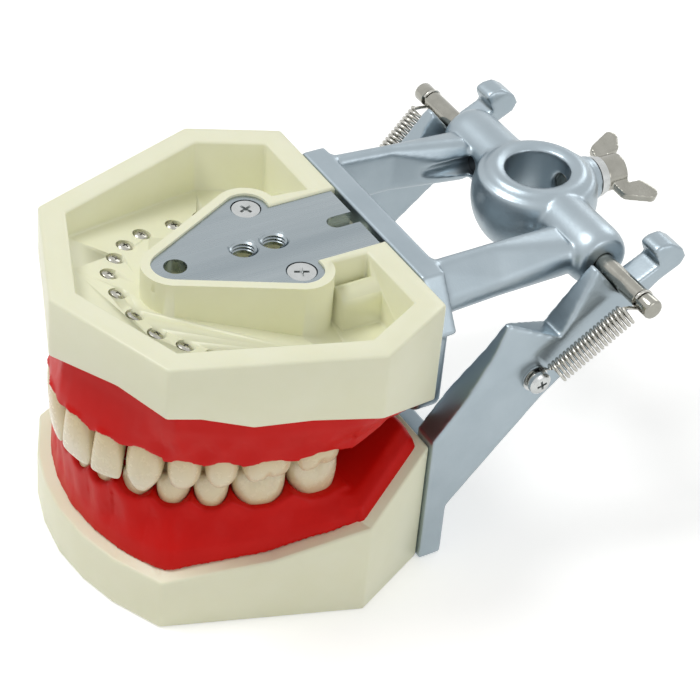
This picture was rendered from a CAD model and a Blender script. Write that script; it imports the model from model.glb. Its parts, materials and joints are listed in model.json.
import bmesh
import bpy
import json
import math
import numpy as np
from mathutils import Matrix, Vector


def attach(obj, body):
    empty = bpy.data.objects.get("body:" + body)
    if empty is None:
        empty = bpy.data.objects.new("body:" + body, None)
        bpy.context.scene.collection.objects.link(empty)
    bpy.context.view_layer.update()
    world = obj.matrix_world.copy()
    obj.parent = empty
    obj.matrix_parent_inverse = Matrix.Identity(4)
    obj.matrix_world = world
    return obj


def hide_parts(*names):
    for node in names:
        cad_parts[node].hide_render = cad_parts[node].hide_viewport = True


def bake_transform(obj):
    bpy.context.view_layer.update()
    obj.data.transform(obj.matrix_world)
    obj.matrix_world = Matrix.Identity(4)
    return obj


# Dental articulator: two typodonts on cast frames, with sprung condyle pins and a ball clamp.
# Lengths in this file are in millimetres up to mm(), which gives the CAD frame's metres.

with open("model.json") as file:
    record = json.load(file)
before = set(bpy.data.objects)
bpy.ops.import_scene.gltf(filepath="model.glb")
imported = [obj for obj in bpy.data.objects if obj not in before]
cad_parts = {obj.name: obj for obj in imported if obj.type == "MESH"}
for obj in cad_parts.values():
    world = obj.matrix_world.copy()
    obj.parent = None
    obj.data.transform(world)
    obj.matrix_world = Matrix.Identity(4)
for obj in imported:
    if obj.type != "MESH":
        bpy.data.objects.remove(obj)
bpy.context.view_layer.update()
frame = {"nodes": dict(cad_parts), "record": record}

SHIFT_Y = -0.675  # the CAD model is moved this far, so that its middle stands over the origin


def mm(x, y, z):
    """A point measured from the bases' rear edge, in the CAD frame's metres."""
    return Vector((x, y + SHIFT_Y, z)) * 0.001


# ---------------------------------------------------------------- camera, light and floor

camera_data = bpy.data.cameras.new("camera")
camera_data.sensor_width = 36
camera_data.sensor_fit = "HORIZONTAL"
camera_data.lens = 121.93
camera_data.clip_start = 0.01
camera_data.clip_end = 20
camera = bpy.data.objects.new("camera", camera_data)
bpy.context.scene.collection.objects.link(camera)
bpy.context.scene.camera = camera
azimuth, elevation, roll = math.radians(56.39), math.radians(38.39), math.radians(5.45)
right = Vector((math.cos(azimuth), math.sin(azimuth), 0))
forward = Vector((-math.sin(azimuth) * math.cos(elevation), math.cos(azimuth) * math.cos(elevation),
                  -math.sin(elevation)))
down = forward.cross(right)
across_view = right * math.cos(roll) - down * math.sin(roll)
up_view = -(right * math.sin(roll) + down * math.cos(roll))
turned = Matrix((across_view, up_view, -forward)).transposed()
camera.matrix_world = Matrix.Translation((0.30494, -0.202675, 0.31888)) @ turned.to_4x4()

scene = bpy.context.scene
scene.view_settings.view_transform = "Standard"


def linear(code):
    """An sRGB hex colour as linear red, green, blue and alpha."""
    parts = [int(code[i : i + 2], 16) / 255 for i in (1, 3, 5)]
    return tuple(c / 12.92 if c <= 0.04045 else ((c + 0.055) / 1.055) ** 2.4 for c in parts) + (1,)


def add(tree, kind, values=None, links=None, **settings):
    """Adds a node with its settings, its sockets' values and its links."""
    node = tree.nodes.new(kind)
    for name, value in settings.items():
        setattr(node, name, value)
    for socket, value in (values or {}).items():
        node.inputs[socket].default_value = value
    for socket, source in (links or {}).items():
        tree.links.new(source, node.inputs[socket])
    return node


def new_tree(owner):
    owner.use_nodes = True
    owner.node_tree.nodes.clear()
    return owner.node_tree


def seen_rays(tree):
    """1 for rays from the camera and for reflected and transmitted ones, which show the white studio."""
    rays = add(tree, "ShaderNodeLightPath")
    glossy = add(tree, "ShaderNodeMath", operation="MAXIMUM",
                 links={0: rays.outputs["Is Camera Ray"], 1: rays.outputs["Is Glossy Ray"]})
    return add(tree, "ShaderNodeMath", operation="MAXIMUM",
               links={0: glossy.outputs[0], 1: rays.outputs["Is Transmission Ray"]}).outputs[0]


world = bpy.data.worlds.new("studio")
scene.world = world
tree = new_tree(world)
level = add(tree, "ShaderNodeMapRange", values={"To Min": 0.5, "To Max": 1.0},
            links={"Value": seen_rays(tree)})
sky = add(tree, "ShaderNodeBackground", values={"Color": linear("#ffffff")},
          links={"Strength": level.outputs["Result"]})
add(tree, "ShaderNodeOutputWorld", links={"Surface": sky.outputs[0]})


def softbox(name, place, power, size, aim=(0.0, 0.0, 0.03)):
    lamp = bpy.data.lights.new(name, "AREA")
    lamp.energy = power
    lamp.shape = "DISK"
    lamp.size = size
    box = bpy.data.objects.new(name, lamp)
    box.location = place
    box.rotation_euler = (Vector(aim) - Vector(place)).to_track_quat("-Z", "Y").to_euler()
    scene.collection.objects.link(box)


softbox("key_softbox", (-0.25, -0.35, 0.85), 3.0, 0.35)
softbox("side_softbox", (0.75, 0.2, 0.35), 0.7, 0.4)
softbox("rear_softbox", (-0.35, 0.75, 0.45), 0.9, 0.4)

floor_mesh = bpy.data.meshes.new("studio_floor")
bm = bmesh.new()
bmesh.ops.create_circle(bm, cap_ends=True, radius=3, segments=64)
bm.to_mesh(floor_mesh)
bm.free()
floor = bpy.data.objects.new("studio_floor", floor_mesh)
floor.location.z = -0.0002
scene.collection.objects.link(floor)
# Matt white paper. The glow that only seen rays get brings it to white and keeps the shadow.
paper = bpy.data.materials.new("white_paper_matt")
tree = new_tree(paper)
sheet = add(tree, "ShaderNodeBsdfDiffuse", values={"Color": linear("#f2f2f0")})
lift = add(tree, "ShaderNodeMath", operation="MULTIPLY", values={1: 0.42}, links={0: seen_rays(tree)})
glow = add(tree, "ShaderNodeEmission", values={"Color": linear("#ffffff")}, links={"Strength": lift.outputs[0]})
both = add(tree, "ShaderNodeAddShader", links={0: sheet.outputs[0], 1: glow.outputs[0]})
add(tree, "ShaderNodeOutputMaterial", links={"Surface": both.outputs[0]})
floor_mesh.materials.append(paper)

# ---------------------------------------------------------------- materials


def finish_of(name, colour, second, patch_mm, rough, rough_spread, grain_mm, grain_height_mm, metallic=0.0,
              stretch=(1, 1, 1), patch_share=0.5, sockets=None, gradient=None):
    """A material whose colour drifts between two tones in patches of patch_mm and whose gloss and
    relief follow a grain of grain_mm. gradient is (from_z, to_z, [(share, hex), ...]) in millimetres."""
    made = bpy.data.materials.new(name)
    tree = new_tree(made)
    place = add(tree, "ShaderNodeTexCoord")
    spread = add(tree, "ShaderNodeMapping", values={"Scale": stretch}, links={"Vector": place.outputs["Object"]})
    patches = add(tree, "ShaderNodeTexNoise", values={"Scale": 1000 / patch_mm, "Detail": 3.0, "Roughness": 0.55},
                  links={"Vector": spread.outputs[0]})
    grain = add(tree, "ShaderNodeTexNoise", values={"Scale": 1000 / grain_mm, "Detail": 4.0, "Roughness": 0.6},
                links={"Vector": spread.outputs[0]})
    share = add(tree, "ShaderNodeMapRange",
                values={"From Min": 0.3, "From Max": 0.7, "To Min": 0.0, "To Max": patch_share},
                links={"Value": patches.outputs["Fac"]})
    if gradient:
        low, high, stops = gradient
        parts = add(tree, "ShaderNodeSeparateXYZ", links={"Vector": place.outputs["Object"]})
        along = add(tree, "ShaderNodeMapRange", values={"From Min": low * 0.001, "From Max": high * 0.001},
                    links={"Value": parts.outputs["Z"]})
        ramp = add(tree, "ShaderNodeValToRGB", links={"Fac": along.outputs["Result"]})
        while len(ramp.color_ramp.elements) < len(stops):
            ramp.color_ramp.elements.new(0.5)
        for element, (position, code) in zip(ramp.color_ramp.elements, stops):
            element.position = position
            element.color = linear(code)
        first = {"links": {"Factor": share.outputs["Result"], 6: ramp.outputs["Color"]},
                 "values": {7: linear(second)}}
    else:
        first = {"links": {"Factor": share.outputs["Result"]}, "values": {6: linear(colour), 7: linear(second)}}
    tone = add(tree, "ShaderNodeMix", data_type="RGBA", **first)
    gloss = add(tree, "ShaderNodeMapRange",
                values={"From Min": 0.25, "From Max": 0.75, "To Min": rough - rough_spread,
                        "To Max": rough + rough_spread},
                links={"Value": grain.outputs["Fac"]})
    relief = add(tree, "ShaderNodeBump", values={"Strength": 1.0, "Distance": grain_height_mm * 0.001},
                 links={"Height": grain.outputs["Fac"]})
    shader = add(tree, "ShaderNodeBsdfPrincipled", values={"Metallic": metallic, **(sockets or {})},
                 links={"Base Color": tone.outputs[2], "Roughness": gloss.outputs["Result"],
                        "Normal": relief.outputs["Normal"]})
    add(tree, "ShaderNodeOutputMaterial", links={"Surface": shader.outputs[0]})
    return made


# ABS, injection moulded in a lightly spark-eroded tool: warm ivory with a broad soft sheen
ivory_abs = finish_of("abs_ivory_moulded", "#f2f2d6", "#ececca", 9.0, 0.36, 0.05, 0.45, 0.012,
                      sockets={"IOR": 1.54, "Subsurface Weight": 0.08, "Subsurface Scale": 0.001,
                               "Subsurface Radius": (1.0, 0.8, 0.5)})
# Silicone rubber cast against polished wax: saturated red, with a wet looking, slightly wavy gloss
red_silicone = finish_of("silicone_rubber_red_cast", "#d20a02", "#c40701", 6.0, 0.44, 0.05, 3.0, 0.012,
                         sockets={"IOR": 1.41, "Specular IOR Level": 0.28})
# Melamine tooth resin, pressed and polished: amber at the neck, cream body, greyer biting edge
TOOTH_SOCKETS = {"IOR": 1.6, "Subsurface Weight": 0.18, "Subsurface Scale": 0.0012,
                 "Subsurface Radius": (1.0, 0.75, 0.45), "Coat Weight": 0.25, "Coat Roughness": 0.12}
upper_resin = finish_of("tooth_resin_upper_polished", "#e6dbbb", "#dfd0a8", 3.5, 0.26, 0.05, 1.6, 0.003,
                        patch_share=0.4, sockets=TOOTH_SOCKETS,
                        gradient=(28.0, 38.5, [(0.0, "#e9e0c6"), (0.35, "#e8dcbc"), (1.0, "#d8bf8a")]))
lower_resin = finish_of("tooth_resin_lower_polished", "#e6dbbb", "#dfd0a8", 3.5, 0.26, 0.05, 1.6, 0.003,
                        patch_share=0.4, sockets=TOOTH_SOCKETS,
                        gradient=(21.5, 32.5, [(0.0, "#d8bf8a"), (0.6, "#e8dcbc"), (1.0, "#e9e0c6")]))
# Die-cast zinc alloy under a satin silver coat: blue grey, with a fine orange peel
cast_alloy = finish_of("zinc_alloy_die_cast_satin", "#a8b4bb", "#97a4ac", 11.0, 0.36, 0.05, 0.5, 0.02,
                       metallic=1.0, patch_share=0.6)
# Mild steel plate, ground along its length: long fine scratches and a bright grey face
ground_steel = finish_of("steel_plate_ground", "#a9b2b6", "#8c979d", 7.0, 0.27, 0.09, 0.9, 0.012,
                         metallic=1.0, stretch=(1, 0.06, 1), patch_share=0.7)
# Steel screws, barrel plated with zinc: bright, faintly mottled
zinc_steel = finish_of("steel_zinc_plated", "#c9cccc", "#b3b5b3", 1.6, 0.24, 0.06, 0.4, 0.008, metallic=1.0)
tooth_screw_steel = finish_of("steel_screw_bright", "#b9b8b0", "#98958a", 1.2, 0.28, 0.07, 0.3, 0.008,
                              metallic=1.0)
# Brass turned and nickel plated: warm white mirror with turning marks too fine to see one by one
nickel = finish_of("brass_nickel_plated", "#a7a69e", "#8b8a82", 3.0, 0.2, 0.05, 0.7, 0.006, metallic=1.0)
# Music wire, drawn: a bright line along each coil
drawn_wire = finish_of("steel_wire_drawn", "#c4c3bd", "#a09e96", 0.9, 0.22, 0.07, 0.3, 0.006, metallic=1.0)
black_steel = finish_of("steel_blackened", "#3a3b3e", "#2b2c2e", 1.2, 0.42, 0.08, 0.3, 0.01, metallic=0.8)

SLOT_FINISH = {"base_plastic": ivory_abs, "gum": red_silicone, "cast_frame": cast_alloy,
               "steel_plate": ground_steel, "zinc_screw": zinc_steel, "tooth_screw": tooth_screw_steel,
               "nickel": nickel, "spring_wire": drawn_wire, "dark_steel": black_steel}
for part in frame["record"]["subparts"]:
    node = frame["nodes"][part["node"]]
    if part["material_slot"] == "tooth":
        coat = upper_resin if part["node"].startswith("upper") else lower_resin
    else:
        coat = SLOT_FINISH[part["material_slot"]]
    node.data.materials.clear()
    node.data.materials.append(coat)

# ---------------------------------------------------------------- making pieces


def node_copy(name):
    """A CAD node's shape as one joined skin."""
    bm = bmesh.new()
    bm.from_mesh(frame["nodes"][name].data)
    bmesh.ops.remove_doubles(bm, verts=bm.verts, dist=2e-6)
    return bm


def mesh_from(bm, name):
    mesh = bpy.data.meshes.new(name)
    bm.to_mesh(mesh)
    bm.free()
    return mesh


def applied(mesh, *modifiers):
    """The mesh after the given modifiers, each (kind, {setting: value})."""
    holder = bpy.data.objects.new("holder", mesh)
    scene.collection.objects.link(holder)
    for kind, settings in modifiers:
        modifier = holder.modifiers.new(kind.lower(), kind)
        for key, value in settings.items():
            setattr(modifier, key, value)
    graph = bpy.context.evaluated_depsgraph_get()
    out = bpy.data.meshes.new_from_object(holder.evaluated_get(graph))
    bpy.data.objects.remove(holder)
    return out


def piece(name, mesh, body, coat, nodes=(), sharp=None):
    """Puts a finished mesh in the scene, on its body and in place of its CAD nodes."""
    mesh.name = name
    mesh.materials.clear()
    mesh.materials.append(coat)
    mesh.shade_smooth()
    if sharp:
        mesh.set_sharp_from_angle(angle=math.radians(sharp))
    made = bpy.data.objects.new(name, mesh)
    scene.collection.objects.link(made)
    if body:
        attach(made, body)
    if nodes:
        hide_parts(*nodes)
    return made


def skinned(bm, name, voxel_mm, rounds):
    """One skin over a shape, its corners softened as a mould or a casting softens them."""
    return applied(mesh_from(bm, name),
                   ("REMESH", {"mode": "VOXEL", "voxel_size": voxel_mm * 0.001, "adaptivity": 0.0}),
                   ("SMOOTH", {"factor": 0.5, "iterations": rounds}))


def spun(profile, steps=48):
    """A closed turned shape about Z from (radius, height) points in millimetres."""
    bm = bmesh.new()
    points = [bm.verts.new((r * 0.001, 0, z * 0.001)) for r, z in profile]
    edges = [bm.edges.new(pair) for pair in zip(points, points[1:])]
    bmesh.ops.spin(bm, geom=points + edges, cent=(0, 0, 0), axis=(0, 0, 1), angle=2 * math.pi, steps=steps,
                   use_merge=True)
    bmesh.ops.remove_doubles(bm, verts=bm.verts, dist=1e-6)
    bmesh.ops.recalc_face_normals(bm, faces=bm.faces)
    return bm


def vertices_of(mesh):
    points = np.empty(len(mesh.vertices) * 3)
    mesh.vertices.foreach_get("co", points)
    return points.reshape(-1, 3)


def set_vertices(mesh, points):
    mesh.vertices.foreach_set("co", np.ascontiguousarray(points, dtype=np.float32).ravel())
    mesh.update()


# ---------------------------------------------------------------- arches

TEETH = ["central", "lateral", "canine", "premolar_1", "premolar_2", "molar_1", "molar_2"]
FIRST_PREMOLAR, FIRST_MOLAR = 3, 5
OVERALL_H = 62
ARCH = {"upper": (31.8, 46.3), "lower": (29.8, 43.0)}
ARCH_END = 16
WIDTHS = {"upper": [8.9, 7.2, 8.3, 7.4, 7.1, 10.5, 9.8], "lower": [5.7, 6.2, 7.2, 7.4, 7.5, 11.3, 10.6]}
CRESTS = {"upper": [24.0, 24.6, 24.5, 25.6, 25.8, 26.2, 25.6],
          "lower": [20.8, 21.3, 22.3, 23.4, 23.5, 23.4, 24.2]}
NECK_DEPTH = 0.8


def arch_samples(jaw):
    """Rows of run, x, y, outward x, outward y along the left half of a jaw's arch."""
    a, b = ARCH[jaw]
    turn = np.radians(np.arange(0, 90.5, 0.5))
    x, y = a * np.sin(turn), -ARCH_END - b * np.cos(turn)
    run = np.concatenate([[0], np.cumsum(np.hypot(np.diff(x), np.diff(y)))])
    normal = np.stack([b * np.sin(turn), -a * np.cos(turn)], 1)
    normal /= np.linalg.norm(normal, axis=1)[:, None]
    straight = np.arange(0.5, 12, 0.5)
    rows = np.column_stack([run, x, y, normal])
    tail = np.column_stack([run[-1] + straight, np.full_like(straight, a), -ARCH_END + straight,
                            np.ones_like(straight), np.zeros_like(straight)])
    return np.vstack([rows, tail])


ARCHES = {jaw: arch_samples(jaw) for jaw in ARCH}


def middle_run(jaw, i):
    return sum(WIDTHS[jaw][:i]) + WIDTHS[jaw][i] / 2


def crest_height(jaw, i):
    z = CRESTS[jaw][i]
    return OVERALL_H - z if jaw == "upper" else z


# ---------------------------------------------------------------- teeth


# How far each upper crown's outer side hangs past the bite, over the lower teeth
OVERHANG = [0.4, 0.5, 2.6, 2.3, 2.1, 2.3, 2.6]


def carve_crown(points, jaw, side, i, tip_way):
    """Works a crown's grooves and its overhanging side. Points are in metres and come back so."""
    arch = ARCHES[jaw]
    s = middle_run(jaw, i)
    here = [np.interp(s, arch[:, 0], arch[:, k]) for k in range(1, 5)]
    n = np.array(here[2:]) / np.hypot(*here[2:])
    t = np.array([-n[1], n[0]])
    way = 1 if side == "left" else -1
    flat = np.column_stack([points[:, 0] * 1000 * way, points[:, 1] * 1000 - SHIFT_Y]) - here[:2]
    u, w = flat @ t, flat @ n
    h = (points[:, 2] * 1000 - crest_height(jaw, i)) * tip_way
    top = h.max()
    level = np.clip(h / top, 0, 1)
    rise = lambda a, b: np.clip((level - a) / (b - a), 0, 1) ** 2 * (3 - 2 * np.clip((level - a) / (b - a), 0, 1))
    crown = h > 0
    middle = (w[crown].max() + w[crown].min()) / 2
    depth = (w[crown].max() - w[crown].min()) / 2
    cheek = np.clip((w - middle) / depth, -1, 1)
    push, drop = np.zeros(len(points)), np.zeros(len(points))
    if i >= FIRST_MOLAR:
        spots = [-0.17 * WIDTHS[jaw][i], 0.2 * WIDTHS[jaw][i]] if jaw == "lower" and i == FIRST_MOLAR else [0.0]
        for c in spots:
            notch = np.exp(-(((u - c) / 0.62) ** 2))
            push += 0.5 * notch * rise(0.3, 0.75) * np.clip(cheek * 2 - 0.4, 0, 1)
            drop += 0.42 * notch * rise(0.72, 0.95)
        lingual = np.exp(-((u / 0.62) ** 2)) * rise(0.35, 0.8)
        push -= 0.35 * lingual * np.clip(-cheek * 2 - 0.4, 0, 1)
    if i >= FIRST_PREMOLAR:
        drop += 0.4 * np.exp(-(((w - middle) / 0.55) ** 2)) * rise(0.7, 0.92)
    if jaw == "upper":
        outer = 1.0 if i < 2 else np.clip(0.5 + 0.6 * cheek, 0, 1) ** 1.5
        drop -= OVERHANG[i] * outer * level**1.6
        push -= (0.35 if i < 2 else 0.9) * outer * level**3
    out = points.copy()
    out[:, 0] -= push * n[0] * way * 0.001
    out[:, 1] -= push * n[1] * 0.001
    out[:, 2] -= drop * tip_way * 0.001
    return out


def tooth_piece(jaw, side, i):
    """A crown with its rings smoothed, over the CAD root, which stays as it is."""
    name = f"{jaw}_{side}_{TEETH[i]}"
    tip_way = -1 if jaw == "upper" else 1
    neck = (crest_height(jaw, i) - tip_way * NECK_DEPTH) * 0.001
    crown, root = node_copy(name), node_copy(name)
    beyond = lambda face: any((v.co.z - neck) * tip_way > 2e-5 for v in face.verts)
    bmesh.ops.delete(crown, geom=[f for f in crown.faces if not beyond(f)], context="FACES")
    bmesh.ops.delete(root, geom=[f for f in root.faces if beyond(f)], context="FACES")
    bmesh.ops.holes_fill(root, edges=[e for e in root.edges if e.is_boundary], sides=0)
    bmesh.ops.dissolve_limit(crown, angle_limit=0.004, verts=crown.verts, edges=crown.edges)
    cap = max((f for f in crown.faces), key=lambda f: len(f.verts))
    if len(cap.verts) > 6:
        bmesh.ops.poke(crown, faces=[cap])
    bmesh.ops.join_triangles(crown, faces=[f for f in crown.faces if len(f.verts) == 3],
                             angle_face_threshold=math.radians(50), angle_shape_threshold=math.radians(70))
    middle = sum((v.co for v in crown.verts), Vector()) / len(crown.verts)
    for v in crown.verts:
        v.co.x = middle.x + (v.co.x - middle.x) * 1.035
        v.co.y = middle.y + (v.co.y - middle.y) * 1.035
    rim = bmesh.ops.extrude_edge_only(crown, edges=[e for e in crown.edges if e.is_boundary])
    foot = [v for v in rim["geom"] if isinstance(v, bmesh.types.BMVert)]
    for v in foot:
        v.co.z -= tip_way * 0.0009
    bmesh.ops.holes_fill(crown, edges=[e for e in crown.edges if e.is_boundary], sides=0)
    bmesh.ops.recalc_face_normals(crown, faces=crown.faces)
    mesh = applied(mesh_from(crown, name), ("SUBSURF", {"levels": 3, "render_levels": 3}))
    set_vertices(mesh, carve_crown(vertices_of(mesh), jaw, side, i, tip_way))
    whole = bmesh.new()
    whole.from_mesh(mesh)
    whole.from_mesh(mesh_from(root, name + "_root"))
    coat = upper_resin if jaw == "upper" else lower_resin
    piece(name + "_resin", mesh_from(whole, name), jaw + "_jaw", coat, [name])


for jaw in ARCH:
    for side in ("right", "left"):
        for i in range(len(TEETH)):
            tooth_piece(jaw, side, i)

# ---------------------------------------------------------------- gums


def tooth_plug(jaw, side, i):
    """The buried part of a tooth, a little swollen, which closes its socket in the gum."""
    tip_way = -1 if jaw == "upper" else 1
    bm = node_copy(f"{jaw}_{side}_{TEETH[i]}")
    level = (crest_height(jaw, i) - tip_way * 0.35) * 0.001
    bmesh.ops.bisect_plane(bm, geom=bm.verts[:] + bm.edges[:] + bm.faces[:], plane_co=(0, 0, level),
                           plane_no=(0, 0, tip_way), clear_outer=True)
    bmesh.ops.holes_fill(bm, edges=[e for e in bm.edges if e.is_boundary], sides=0)
    middle = sum((v.co for v in bm.verts), Vector()) / len(bm.verts)
    bmesh.ops.scale(bm, vec=(1.07, 1.07, 1), verts=bm.verts, space=Matrix.Translation(-middle))
    return mesh_from(bm, "plug")


POINT_FREE, POINT_CUT = 0.25, 0.75
FRONT_RUN, FRONT_REACH, FRONT_LIFT, FRONT_SWELL = (12.0, 21.0), 5.0, 2.6, 0.9
# The lower gum's run behind the last molar, to the back of the base: y, height of the crest over the base
LOWER_TAIL = [(-20.0, 4.4), (-17.5, 3.6), (-15.0, 3.6), (-12.0, 3.9), (-9.0, 4.0), (-6.0, 3.8), (-3.6, 3.2),
              (-2.4, 1.8)]
UPPER_TAIL = [(2.0, 0.2), (2.0, 0.4)]


def ease(t):
    t = np.clip(t, 0, 1)
    return t * t * (3 - 2 * t)


def lower_tail(way):
    """One side of the lower gum's rear end, which climbs with the base's top."""
    bm = bmesh.new()
    rings = []
    for y, crest in LOWER_TAIL:
        base = 28.2 + 0.444 * (y + 0.7)
        edge = min(39.4 - 0.497 * (y + 17.6), 39.4 + 0.339 * (y + 17.6)) - 2.7
        inner = 16.2 + 0.12 * (y + 20)
        section = [(edge, -1.5), (edge, 0.25), (edge - 1.2, crest * 0.62), (edge - 4.2, crest),
                   (inner + 4, crest), (inner + 1.2, crest * 0.6), (inner, 0.25), (inner, -1.5)]
        rings.append([bm.verts.new((x * way * 0.001, y * 0.001, (base + z) * 0.001)) for x, z in section])
    for one, two in zip(rings, rings[1:]):
        for k in range(len(one)):
            m = (k + 1) % len(one)
            bm.faces.new((one[k], one[m], two[m], two[k]))
    bm.faces.new(rings[0])
    bm.faces.new(rings[-1][::-1])
    bmesh.ops.recalc_face_normals(bm, faces=bm.faces)
    return mesh_from(bm, "tail")


def upper_tail(bm):
    """Carries the upper gum's flat rear ends a little further back."""
    bm.normal_update()
    rear = max(v.co.y for v in bm.verts)
    for way in (-1, 1):
        cap = [f for f in bm.faces if f.normal.y > 0.9 and f.calc_center_median().x * way > 0
               and min(v.co.y for v in f.verts) > rear - 0.0008]
        for back, up in UPPER_TAIL:
            made = bmesh.ops.extrude_face_region(bm, geom=cap)["geom"]
            bmesh.ops.delete(bm, geom=cap, context="FACES")
            cap = [g for g in made if isinstance(g, bmesh.types.BMFace)]
            for v in {v for f in cap for v in f.verts}:
                v.co += Vector((0, back, up)) * 0.001


def gum_piece(jaw):
    tip_way = -1 if jaw == "upper" else 1
    bm = node_copy(jaw + "_gum")
    if jaw == "upper":
        upper_tail(bm)
    else:
        bm.from_mesh(lower_tail(-1))
        bm.from_mesh(lower_tail(1))
    for side in ("right", "left"):
        for i in range(len(TEETH)):
            bm.from_mesh(tooth_plug(jaw, side, i))
    mesh = skinned(bm, jaw + "_gum", 0.42, 7)
    points = vertices_of(mesh)
    arch = ARCHES[jaw]
    x, y = np.abs(points[:, 0]) * 1000, points[:, 1] * 1000 - SHIFT_Y
    nearest = np.argmin((x[:, None] - arch[None, :, 1]) ** 2 + (y[:, None] - arch[None, :, 2]) ** 2, axis=1)
    run = arch[nearest, 0]
    nx, ny = arch[nearest, 3], arch[nearest, 4]
    outside = (x - arch[nearest, 1]) * nx + (y - arch[nearest, 2]) * ny
    ends = np.cumsum([0] + WIDTHS[jaw])
    tooth = np.clip(np.searchsorted(ends, run) - 1, 0, len(TEETH) - 1)
    phase = (run - ends[tooth]) / np.array(WIDTHS[jaw])[tooth]
    crest = np.array([crest_height(jaw, i) for i in range(len(TEETH))])[tooth]
    below = (crest - points[:, 2] * 1000) * tip_way
    # Each root shows as a low rounded ridge under its crown, with a furrow between it and the next
    ridge = -np.cos(2 * math.pi * phase) * np.exp(-(((below - 3.2) / 2.6) ** 2))
    ridge *= np.clip((outside + 0.5) / 1.5, 0, 1) * (run < ends[-1])
    swell = 0.38 * ridge * 0.001
    points[:, 0] += np.sign(points[:, 0]) * nx * swell
    points[:, 1] += ny * swell
    if jaw == "upper":
        # The upper margin runs almost level, with only low points between the crowns
        past = np.clip(-below - POINT_FREE, 0, None) * (run < ends[-1])
        points[:, 2] += past * POINT_CUT * 0.001
    else:
        # The lower gum stands higher in front of the small front teeth
        lift = ease((FRONT_RUN[1] - run) / (FRONT_RUN[1] - FRONT_RUN[0])) * ease(1 - below / FRONT_REACH)
        points[:, 2] += FRONT_LIFT * lift * 0.001
        out = FRONT_SWELL * lift * np.clip(outside + 0.5, 0, 1) * 0.001
        points[:, 0] += np.sign(points[:, 0]) * nx * out
        points[:, 1] += ny * out
    set_vertices(mesh, points)
    piece(jaw + "_gum_silicone", mesh, jaw + "_jaw", red_silicone, [jaw + "_gum"])


for jaw in ARCH:
    gum_piece(jaw)

# ---------------------------------------------------------------- bases


def base_piece(jaw):
    """The moulded base, with a small radius along its long edges."""
    bm = node_copy(jaw + "_base")
    bmesh.ops.dissolve_limit(bm, angle_limit=0.01, verts=bm.verts, edges=bm.edges)
    bmesh.ops.recalc_face_normals(bm, faces=bm.faces)
    long_edges = [e for e in bm.edges
                  if len(e.link_faces) == 2 and e.calc_length() > 0.0045 and e.calc_face_angle(0) > 0.3]
    bmesh.ops.bevel(bm, geom=long_edges, offset=0.0005, offset_type="OFFSET", segments=2, profile=0.5,
                    affect="EDGES", material=-1, clamp_overlap=False)
    piece(jaw + "_base_abs", mesh_from(bm, jaw), jaw + "_jaw", ivory_abs, [jaw + "_base"],
          sharp=35)


for jaw in ARCH:
    base_piece(jaw)

# ---------------------------------------------------------------- frames and clamp

piece("upper_frame_casting", skinned(node_copy("upper_frame"), "upper_frame", 0.42, 7), "upper_jaw",
      cast_alloy, ["upper_frame"])
piece("lower_frame_casting", skinned(node_copy("lower_frame"), "lower_frame", 0.45, 6), "lower_jaw",
      cast_alloy, ["lower_frame"])
piece("wing_screw_plated", skinned(node_copy("wing_screw"), "wing_screw", 0.2, 6), "clamp_screw",
      nickel, ["wing_screw"])

# ---------------------------------------------------------------- screws


def screws_in(node):
    """Where each screw of a CAD node has the middle of its head's face, and its way out."""
    bm = node_copy(node)
    left, found = set(bm.verts), []
    while left:
        island, edge = set(), [left.pop()]
        while edge:
            v = edge.pop()
            island.add(v)
            near = {e.other_vert(v) for e in v.link_edges} & left
            left -= near
            edge.extend(near)
        points = np.array([v.co for v in island])
        centre = points.mean(0)
        ways = np.linalg.svd(points - centre)[2]
        axis = ways[0]
        run = (points - centre) @ axis
        radius = np.linalg.norm(points - centre - run[:, None] * axis, axis=1)
        if radius[run > run.max() - 1e-4].max() < radius[run < run.min() + 1e-4].max():
            axis, run = -axis, -run
        face = points[run > run.max() - 1e-4].mean(0)
        found.append((Vector(face), Vector(axis)))
    bm.free()
    return found


def screw_mesh(head_r, head_h, shank_r, shank_l, dome=0.25, recess=0.62, sunk=False):
    """A cross-recessed screw with its head's face at the origin, in millimetres."""
    if sunk:
        head = [(0, 0), (head_r - 0.1, 0), (head_r, -0.12), (head_r, -0.35), (shank_r + 0.35, -head_h)]
    else:
        head = [(0, 0), (head_r * 0.55, -dome * 0.25), (head_r * 0.85, -dome), (head_r, -dome * 2.2),
                (head_r, -head_h)]
    profile = head + [(shank_r, -head_h), (shank_r, -head_h - shank_l + 0.4), (shank_r * 0.6, -head_h - shank_l),
                      (0, -head_h - shank_l)]
    mesh = mesh_from(spun(profile, 32), "screw")
    cutters = []
    for turn in (0, 90):
        bm = bmesh.new()
        bmesh.ops.create_cube(bm, size=0.001)
        for v in bm.verts:
            deep = v.co.z < 0
            v.co.x *= 2 * head_r * recess * (0.62 if deep else 1)
            v.co.y *= head_r * 0.26 * (0.6 if deep else 1)
            v.co.z = -head_h * 0.55 * 0.001 if deep else 0.0005
        bmesh.ops.rotate(bm, cent=(0, 0, 0), matrix=Matrix.Rotation(math.radians(turn), 3, "Z"), verts=bm.verts)
        cutter = bpy.data.objects.new("cutter", mesh_from(bm, "cutter"))
        scene.collection.objects.link(cutter)
        cutters.append(cutter)
    bpy.context.view_layer.update()
    out = applied(mesh, *[("BOOLEAN", {"operation": "DIFFERENCE", "solver": "EXACT", "object": c})
                          for c in cutters])
    for cutter in cutters:
        bpy.data.objects.remove(cutter)
    return out


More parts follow.
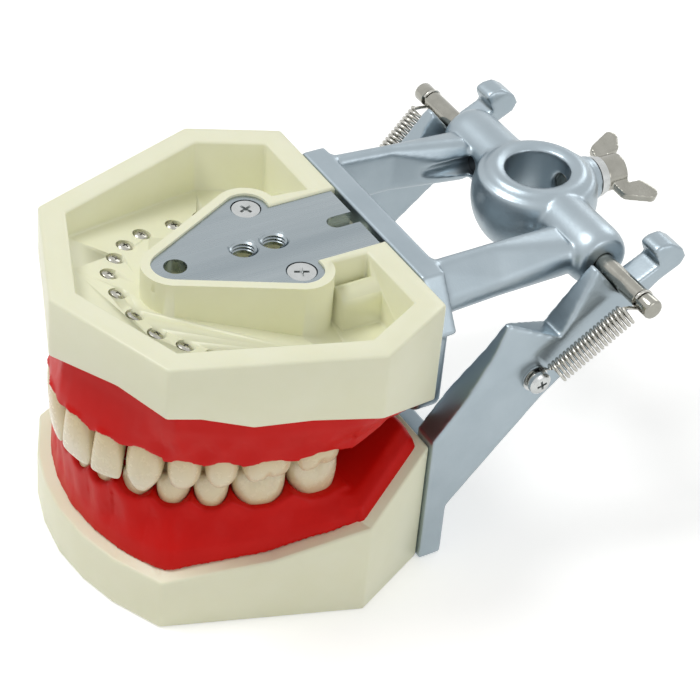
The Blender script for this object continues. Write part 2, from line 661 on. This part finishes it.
def screw_piece(node, body, coat, mesh, seed):
    """Sets one screw in each place of a CAD node, each stopped at its own angle."""
    bm = bmesh.new()
    for k, (face, axis) in enumerate(screws_in(node)):
        turn = Matrix.Rotation(math.radians((k * 47 + seed) % 90), 4, "Z")
        copy = mesh.copy()
        copy.transform(Matrix.Translation(face) @ axis.to_track_quat("Z", "Y").to_matrix().to_4x4() @ turn)
        bm.from_mesh(copy)
    piece(node + "_driven", mesh_from(bm, node), body, coat, [node], sharp=30)


plate_screw = screw_mesh(2.8, 1.3, 1.5, 6.4, recess=0.6, sunk=True)
tooth_screw = screw_mesh(1.5, 1.1, 0.8, 6.0, dome=0.22, recess=0.6)
frame_screw = screw_mesh(2.6, 1.7, 1.5, 12.3, dome=0.3, recess=0.55)
spring_screw = screw_mesh(2.3, 1.5, 1.2, 7.0, dome=0.3, recess=0.55)
for jaw in ARCH:
    body = jaw + "_jaw"
    screw_piece(jaw + "_plate_screws", body, zinc_steel, plate_screw, 20)
    screw_piece(jaw + "_tooth_screws", body, tooth_screw_steel, tooth_screw, 10)
    screw_piece(jaw + "_frame_screws", body, zinc_steel, frame_screw, 35)
screw_piece("spring_screws", "lower_jaw", zinc_steel, spring_screw, 15)

# ---------------------------------------------------------------- threads of the plates

THREAD_R, PITCH, PLATE_T, PLATE_TOP = 2.5, 0.8, 3.0, 0.5
for jaw in ARCH:
    bm = bmesh.new()
    for hole_y in (-24.9, -18.5):
        turns = int(PLATE_T / PITCH)
        start = 0.45
        profile = [(THREAD_R + 0.05, -0.34), (THREAD_R - 0.34, -0.05), (THREAD_R - 0.34, 0.05), (THREAD_R + 0.05, 0.34)]
        points = [bm.verts.new((r * 0.001, 0, (start + h) * 0.001)) for r, h in profile]
        edges = [bm.edges.new(pair) for pair in zip(points, points[1:] + points[:1])]
        steps = 24 * turns
        done = bmesh.ops.spin(bm, geom=points + edges, cent=(0, 0, 0), axis=(0, 0, 1),
                              dvec=(0, 0, (PLATE_T - 0.9) * 0.001 / steps), angle=2 * math.pi * turns, steps=steps)
        for v in bm.verts:
            if not v.tag:
                v.tag = True
                z = PLATE_TOP * 0.001 + v.co.z
                v.co.y += (hole_y + SHIFT_Y) * 0.001
                v.co.z = OVERALL_H * 0.001 - z if jaw == "upper" else z
    bmesh.ops.holes_fill(bm, edges=[e for e in bm.edges if e.is_boundary], sides=0)
    bmesh.ops.recalc_face_normals(bm, faces=bm.faces)
    piece(jaw + "_plate_threads", mesh_from(bm, jaw), jaw + "_jaw", ground_steel, sharp=30)

# ---------------------------------------------------------------- pins and springs

HINGE = (40.0, 54.9)
PIN_R, GROOVE_R, GROOVE_X, GROOVE_W, PIN_IN, PIN_OUT = 2.0, 1.5, 37.7, 1.2, 9.8, 41.35
for side, way in (("right", -1), ("left", 1)):
    bm = spun([(0, PIN_IN), (PIN_R - 0.2, PIN_IN), (PIN_R, PIN_IN + 0.2), (PIN_R, GROOVE_X - GROOVE_W / 2 - 0.12),
               (PIN_R - 0.12, GROOVE_X - GROOVE_W / 2), (GROOVE_R, GROOVE_X - GROOVE_W / 2),
               (GROOVE_R, GROOVE_X + GROOVE_W / 2), (PIN_R - 0.12, GROOVE_X + GROOVE_W / 2),
               (PIN_R, GROOVE_X + GROOVE_W / 2 + 0.12), (PIN_R, PIN_OUT - 0.45), (PIN_R - 0.12, PIN_OUT - 0.2),
               (PIN_R - 0.4, PIN_OUT - 0.04), (PIN_R - 0.7, PIN_OUT), (0, PIN_OUT)], 64)
    bm.transform(Matrix.Translation(mm(0, *HINGE)) @ Matrix.Rotation(way * math.pi / 2, 4, "Y"))
    piece(f"condyle_pin_{side}_plated", mesh_from(bm, side), "upper_jaw", nickel,
          [f"condyle_pin_{side}"], sharp=40)

ARM_OUT, COIL_R, WIRE_R, COILS = 32.2, 2.0, 0.35, 19
SPRING_SCREW = (21.5, 38.6)
EYE_R, LOOP_R, LOOP_X = 1.93, 1.63, 33.2


def spring_line():
    """The wire's centre line: an eye round the pin's groove, the coils, a loop under the screw."""
    eye, loop = Vector((GROOVE_X, *HINGE)), Vector((LOOP_X, *SPRING_SCREW))
    low = Vector((ARM_OUT + COIL_R + WIRE_R + 0.4, *SPRING_SCREW))
    run = (low - eye).normalized()
    side = run.cross(Vector((1, 0, 0))).normalized()
    up = side.cross(run)
    flat_run = Vector((0, run.y, run.z)).normalized()
    flat_side = Vector((1, 0, 0)).cross(flat_run)
    ring = lambda c, r, a, u, v: c + r * (math.cos(math.radians(a)) * u + math.sin(math.radians(a)) * v)
    first, last = EYE_R + 1.8, (low - eye).length - LOOP_R - 1.8
    line = [ring(eye, EYE_R, a, flat_side, flat_run) for a in range(-200, 71, 15)]
    line.append(eye + (EYE_R + 0.9) * run + 0.9 * side)
    steps = 20
    for k in range(COILS * steps + 1):
        share = k / (COILS * steps)
        line.append(ring(eye + (first + share * (last - first)) * run, COIL_R, 360 * k / steps, side, up))
    line.append(loop - (LOOP_R + 0.9) * flat_run + 0.9 * side)
    line += [ring(loop, LOOP_R, a, flat_side, flat_run) for a in range(-70, 201, 15)]
    return line, eye, loop


for side, way in (("right", -1), ("left", 1)):
    line, eye, loop = spring_line()
    curve = bpy.data.curves.new("wire", "CURVE")
    curve.dimensions = "3D"
    curve.bevel_depth = WIRE_R * 0.001
    curve.bevel_resolution = 3
    curve.use_fill_caps = True
    spline = curve.splines.new("POLY")
    spline.points.add(len(line) - 1)
    for point, place in zip(spline.points, line):
        point.co = (*mm(place.x * way, place.y, place.z), 1)
    holder = bpy.data.objects.new("wire", curve)
    scene.collection.objects.link(holder)
    mesh = bpy.data.meshes.new_from_object(holder.evaluated_get(bpy.context.evaluated_depsgraph_get()))
    bpy.data.objects.remove(holder)
    wire = piece(f"spring_{side}_wound", mesh, None, drawn_wire, [f"spring_{side}"], sharp=50)
    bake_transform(wire)
